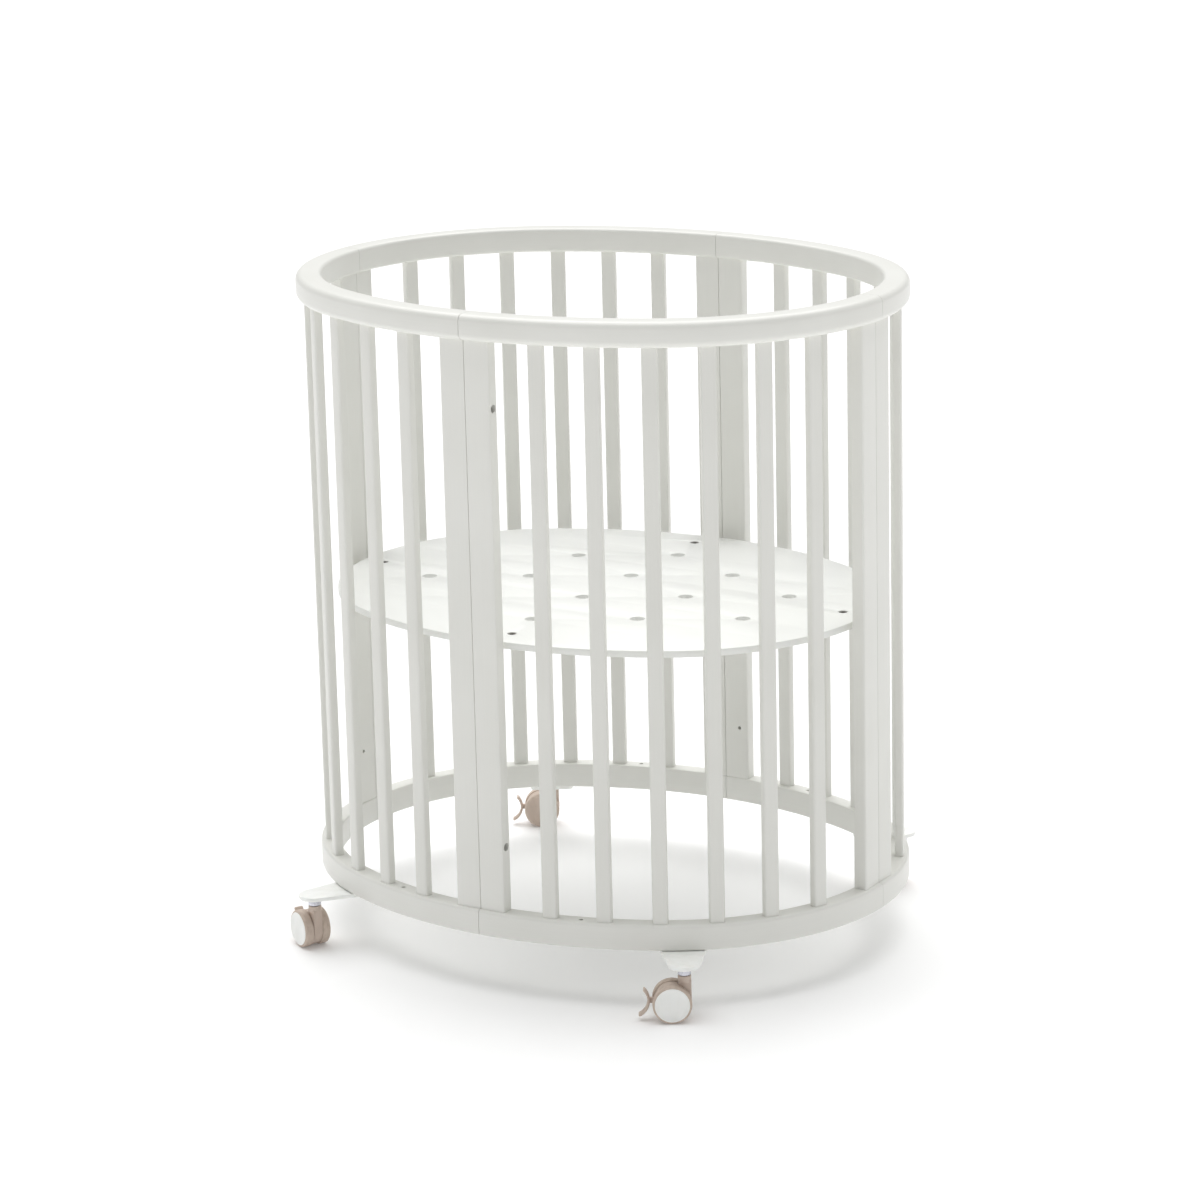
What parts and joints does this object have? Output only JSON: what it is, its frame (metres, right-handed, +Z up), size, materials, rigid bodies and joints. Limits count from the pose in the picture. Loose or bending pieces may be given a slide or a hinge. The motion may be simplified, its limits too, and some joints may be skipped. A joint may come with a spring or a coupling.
{
  "type": "baby crib",
  "caption": "Oval mini crib with upright slats in bolted curved quarter panels, a perforated mattress board on brackets, and braked twin-wheel swivel casters.",
  "frame": {"origin": "on the floor under the middle of the oval", "axes": "+X along the long axis, +Y to the back, +Z up; the front is -Y"},
  "size_m": [0.8298, 0.67, 0.885],
  "materials": {
    "painted_wood": "satin white paint",
    "coated_board": "smooth white coating",
    "bare_wood": "bare",
    "white_plastic": "fine satin",
    "taupe_plastic": "fine satin",
    "taupe_tread": "matte",
    "bright_steel": "zinc plated",
    "dark_steel": "dark oxide",
    "coated_steel": "powder coated"
  },
  "bodies": {
    "frame": {"front_right_top_rail": "painted_wood", "front_right_bottom_rail": "painted_wood", "front_right_slats": "painted_wood", "front_right_posts": "painted_wood", "front_right_caster_plate": "white_plastic", "front_right_caster_stem": "bright_steel", "back_right_top_rail": "painted_wood", "back_right_bottom_rail": "painted_wood", "back_right_slats": "painted_wood", "back_right_posts": "painted_wood", "back_right_caster_plate": "white_plastic", "back_right_caster_stem": "bright_steel", "back_left_top_rail": "painted_wood", "back_left_bottom_rail": "painted_wood", "back_left_slats": "painted_wood", "back_left_posts": "painted_wood", "back_left_caster_plate": "white_plastic", "back_left_caster_stem": "bright_steel", "front_left_top_rail": "painted_wood", "front_left_bottom_rail": "painted_wood", "front_left_slats": "painted_wood", "front_left_posts": "painted_wood", "front_left_caster_plate": "white_plastic", "front_left_caster_stem": "bright_steel", "mattress_board": "coated_board", "board_brackets": "coated_steel", "board_bolts": "dark_steel", "bracket_screws": "bright_steel", "panel_bolts": "dark_steel", "seam_inserts": "bright_steel", "seam_dowels": "bare_wood", "plate_screws": "bright_steel"},
    "front_right_caster_swivel": {"front_right_caster_body": "taupe_plastic", "front_right_caster_axle": "bright_steel"},
    "front_right_caster_outer_wheel": {"front_right_caster_outer_wheel": "taupe_tread", "front_right_caster_outer_cap": "white_plastic"},
    "front_right_caster_inner_wheel": {"front_right_caster_inner_wheel": "taupe_tread", "front_right_caster_inner_cap": "taupe_plastic"},
    "front_right_caster_brake": {"front_right_caster_brake_lever": "taupe_plastic"},
    "back_right_caster_swivel": {"back_right_caster_body": "taupe_plastic", "back_right_caster_axle": "bright_steel"},
    "back_right_caster_outer_wheel": {"back_right_caster_outer_wheel": "taupe_tread", "back_right_caster_outer_cap": "white_plastic"},
    "back_right_caster_inner_wheel": {"back_right_caster_inner_wheel": "taupe_tread", "back_right_caster_inner_cap": "taupe_plastic"},
    "back_right_caster_brake": {"back_right_caster_brake_lever": "taupe_plastic"},
    "back_left_caster_swivel": {"back_left_caster_body": "taupe_plastic", "back_left_caster_axle": "bright_steel"},
    "back_left_caster_outer_wheel": {"back_left_caster_outer_wheel": "taupe_tread", "back_left_caster_outer_cap": "white_plastic"},
    "back_left_caster_inner_wheel": {"back_left_caster_inner_wheel": "taupe_tread", "back_left_caster_inner_cap": "taupe_plastic"},
    "back_left_caster_brake": {"back_left_caster_brake_lever": "taupe_plastic"},
    "front_left_caster_swivel": {"front_left_caster_body": "taupe_plastic", "front_left_caster_axle": "bright_steel"},
    "front_left_caster_outer_wheel": {"front_left_caster_outer_wheel": "taupe_tread", "front_left_caster_outer_cap": "white_plastic"},
    "front_left_caster_inner_wheel": {"front_left_caster_inner_wheel": "taupe_tread", "front_left_caster_inner_cap": "taupe_plastic"},
    "front_left_caster_brake": {"front_left_caster_brake_lever": "taupe_plastic"}
  },
  "joints": [
    {"name": "front_right_caster_swivel", "type": "hinge", "parent": "frame", "child": "front_right_caster_swivel", "pos_m": [0.28372, -0.2951, 0.0596], "axis": [0, 0, 1], "continuous": true},
    {"name": "front_right_caster_outer_wheel_spin", "type": "hinge", "parent": "front_right_caster_swivel", "child": "front_right_caster_outer_wheel", "pos_m": [0.27012, -0.30353, 0.025], "axis": [0.527, -0.8499, 0], "continuous": true},
    {"name": "front_right_caster_inner_wheel_spin", "type": "hinge", "parent": "front_right_caster_swivel", "child": "front_right_caster_inner_wheel", "pos_m": [0.27012, -0.30353, 0.025], "axis": [0.527, -0.8499, 0], "continuous": true},
    {"name": "front_right_caster_brake_rock", "type": "hinge", "parent": "front_right_caster_swivel", "child": "front_right_caster_brake", "pos_m": [0.2544, -0.31328, 0.027], "axis": [-0.527, 0.8499, 0], "range_deg": [0, 16]},
    {"name": "back_right_caster_swivel", "type": "hinge", "parent": "frame", "child": "back_right_caster_swivel", "pos_m": [0.28372, 0.2951, 0.0596], "axis": [0, 0, 1], "continuous": true},
    {"name": "back_right_caster_outer_wheel_spin", "type": "hinge", "parent": "back_right_caster_swivel", "child": "back_right_caster_outer_wheel", "pos_m": [0.27012, 0.28667, 0.025], "axis": [0.527, -0.8499, 0], "continuous": true},
    {"name": "back_right_caster_inner_wheel_spin", "type": "hinge", "parent": "back_right_caster_swivel", "child": "back_right_caster_inner_wheel", "pos_m": [0.27012, 0.28667, 0.025], "axis": [0.527, -0.8499, 0], "continuous": true},
    {"name": "back_right_caster_brake_rock", "type": "hinge", "parent": "back_right_caster_swivel", "child": "back_right_caster_brake", "pos_m": [0.2544, 0.27692, 0.027], "axis": [-0.527, 0.8499, 0], "range_deg": [0, 16]},
    {"name": "back_left_caster_swivel", "type": "hinge", "parent": "frame", "child": "back_left_caster_swivel", "pos_m": [-0.28372, 0.2951, 0.0596], "axis": [0, 0, 1], "continuous": true},
    {"name": "back_left_caster_outer_wheel_spin", "type": "hinge", "parent": "back_left_caster_swivel", "child": "back_left_caster_outer_wheel", "pos_m": [-0.29732, 0.28667, 0.025], "axis": [0.527, -0.8499, 0], "continuous": true},
    {"name": "back_left_caster_inner_wheel_spin", "type": "hinge", "parent": "back_left_caster_swivel", "child": "back_left_caster_inner_wheel", "pos_m": [-0.29732, 0.28667, 0.025], "axis": [0.527, -0.8499, 0], "continuous": true},
    {"name": "back_left_caster_brake_rock", "type": "hinge", "parent": "back_left_caster_swivel", "child": "back_left_caster_brake", "pos_m": [-0.31304, 0.27692, 0.027], "axis": [-0.527, 0.8499, 0], "range_deg": [0, 16]},
    {"name": "front_left_caster_swivel", "type": "hinge", "parent": "frame", "child": "front_left_caster_swivel", "pos_m": [-0.28372, -0.2951, 0.0596], "axis": [0, 0, 1], "continuous": true},
    {"name": "front_left_caster_outer_wheel_spin", "type": "hinge", "parent": "front_left_caster_swivel", "child": "front_left_caster_outer_wheel", "pos_m": [-0.29782, -0.28754, 0.025], "axis": [-0.4726, -0.8813, 0], "continuous": true},
    {"name": "front_left_caster_inner_wheel_spin", "type": "hinge", "parent": "front_left_caster_swivel", "child": "front_left_caster_inner_wheel", "pos_m": [-0.29782, -0.28754, 0.025], "axis": [-0.4726, -0.8813, 0], "continuous": true},
    {"name": "front_left_caster_brake_rock", "type": "hinge", "parent": "front_left_caster_swivel", "child": "front_left_caster_brake", "pos_m": [-0.31412, -0.2788, 0.027], "axis": [0.4726, 0.8813, 0], "range_deg": [0, 16]}
  ]
}
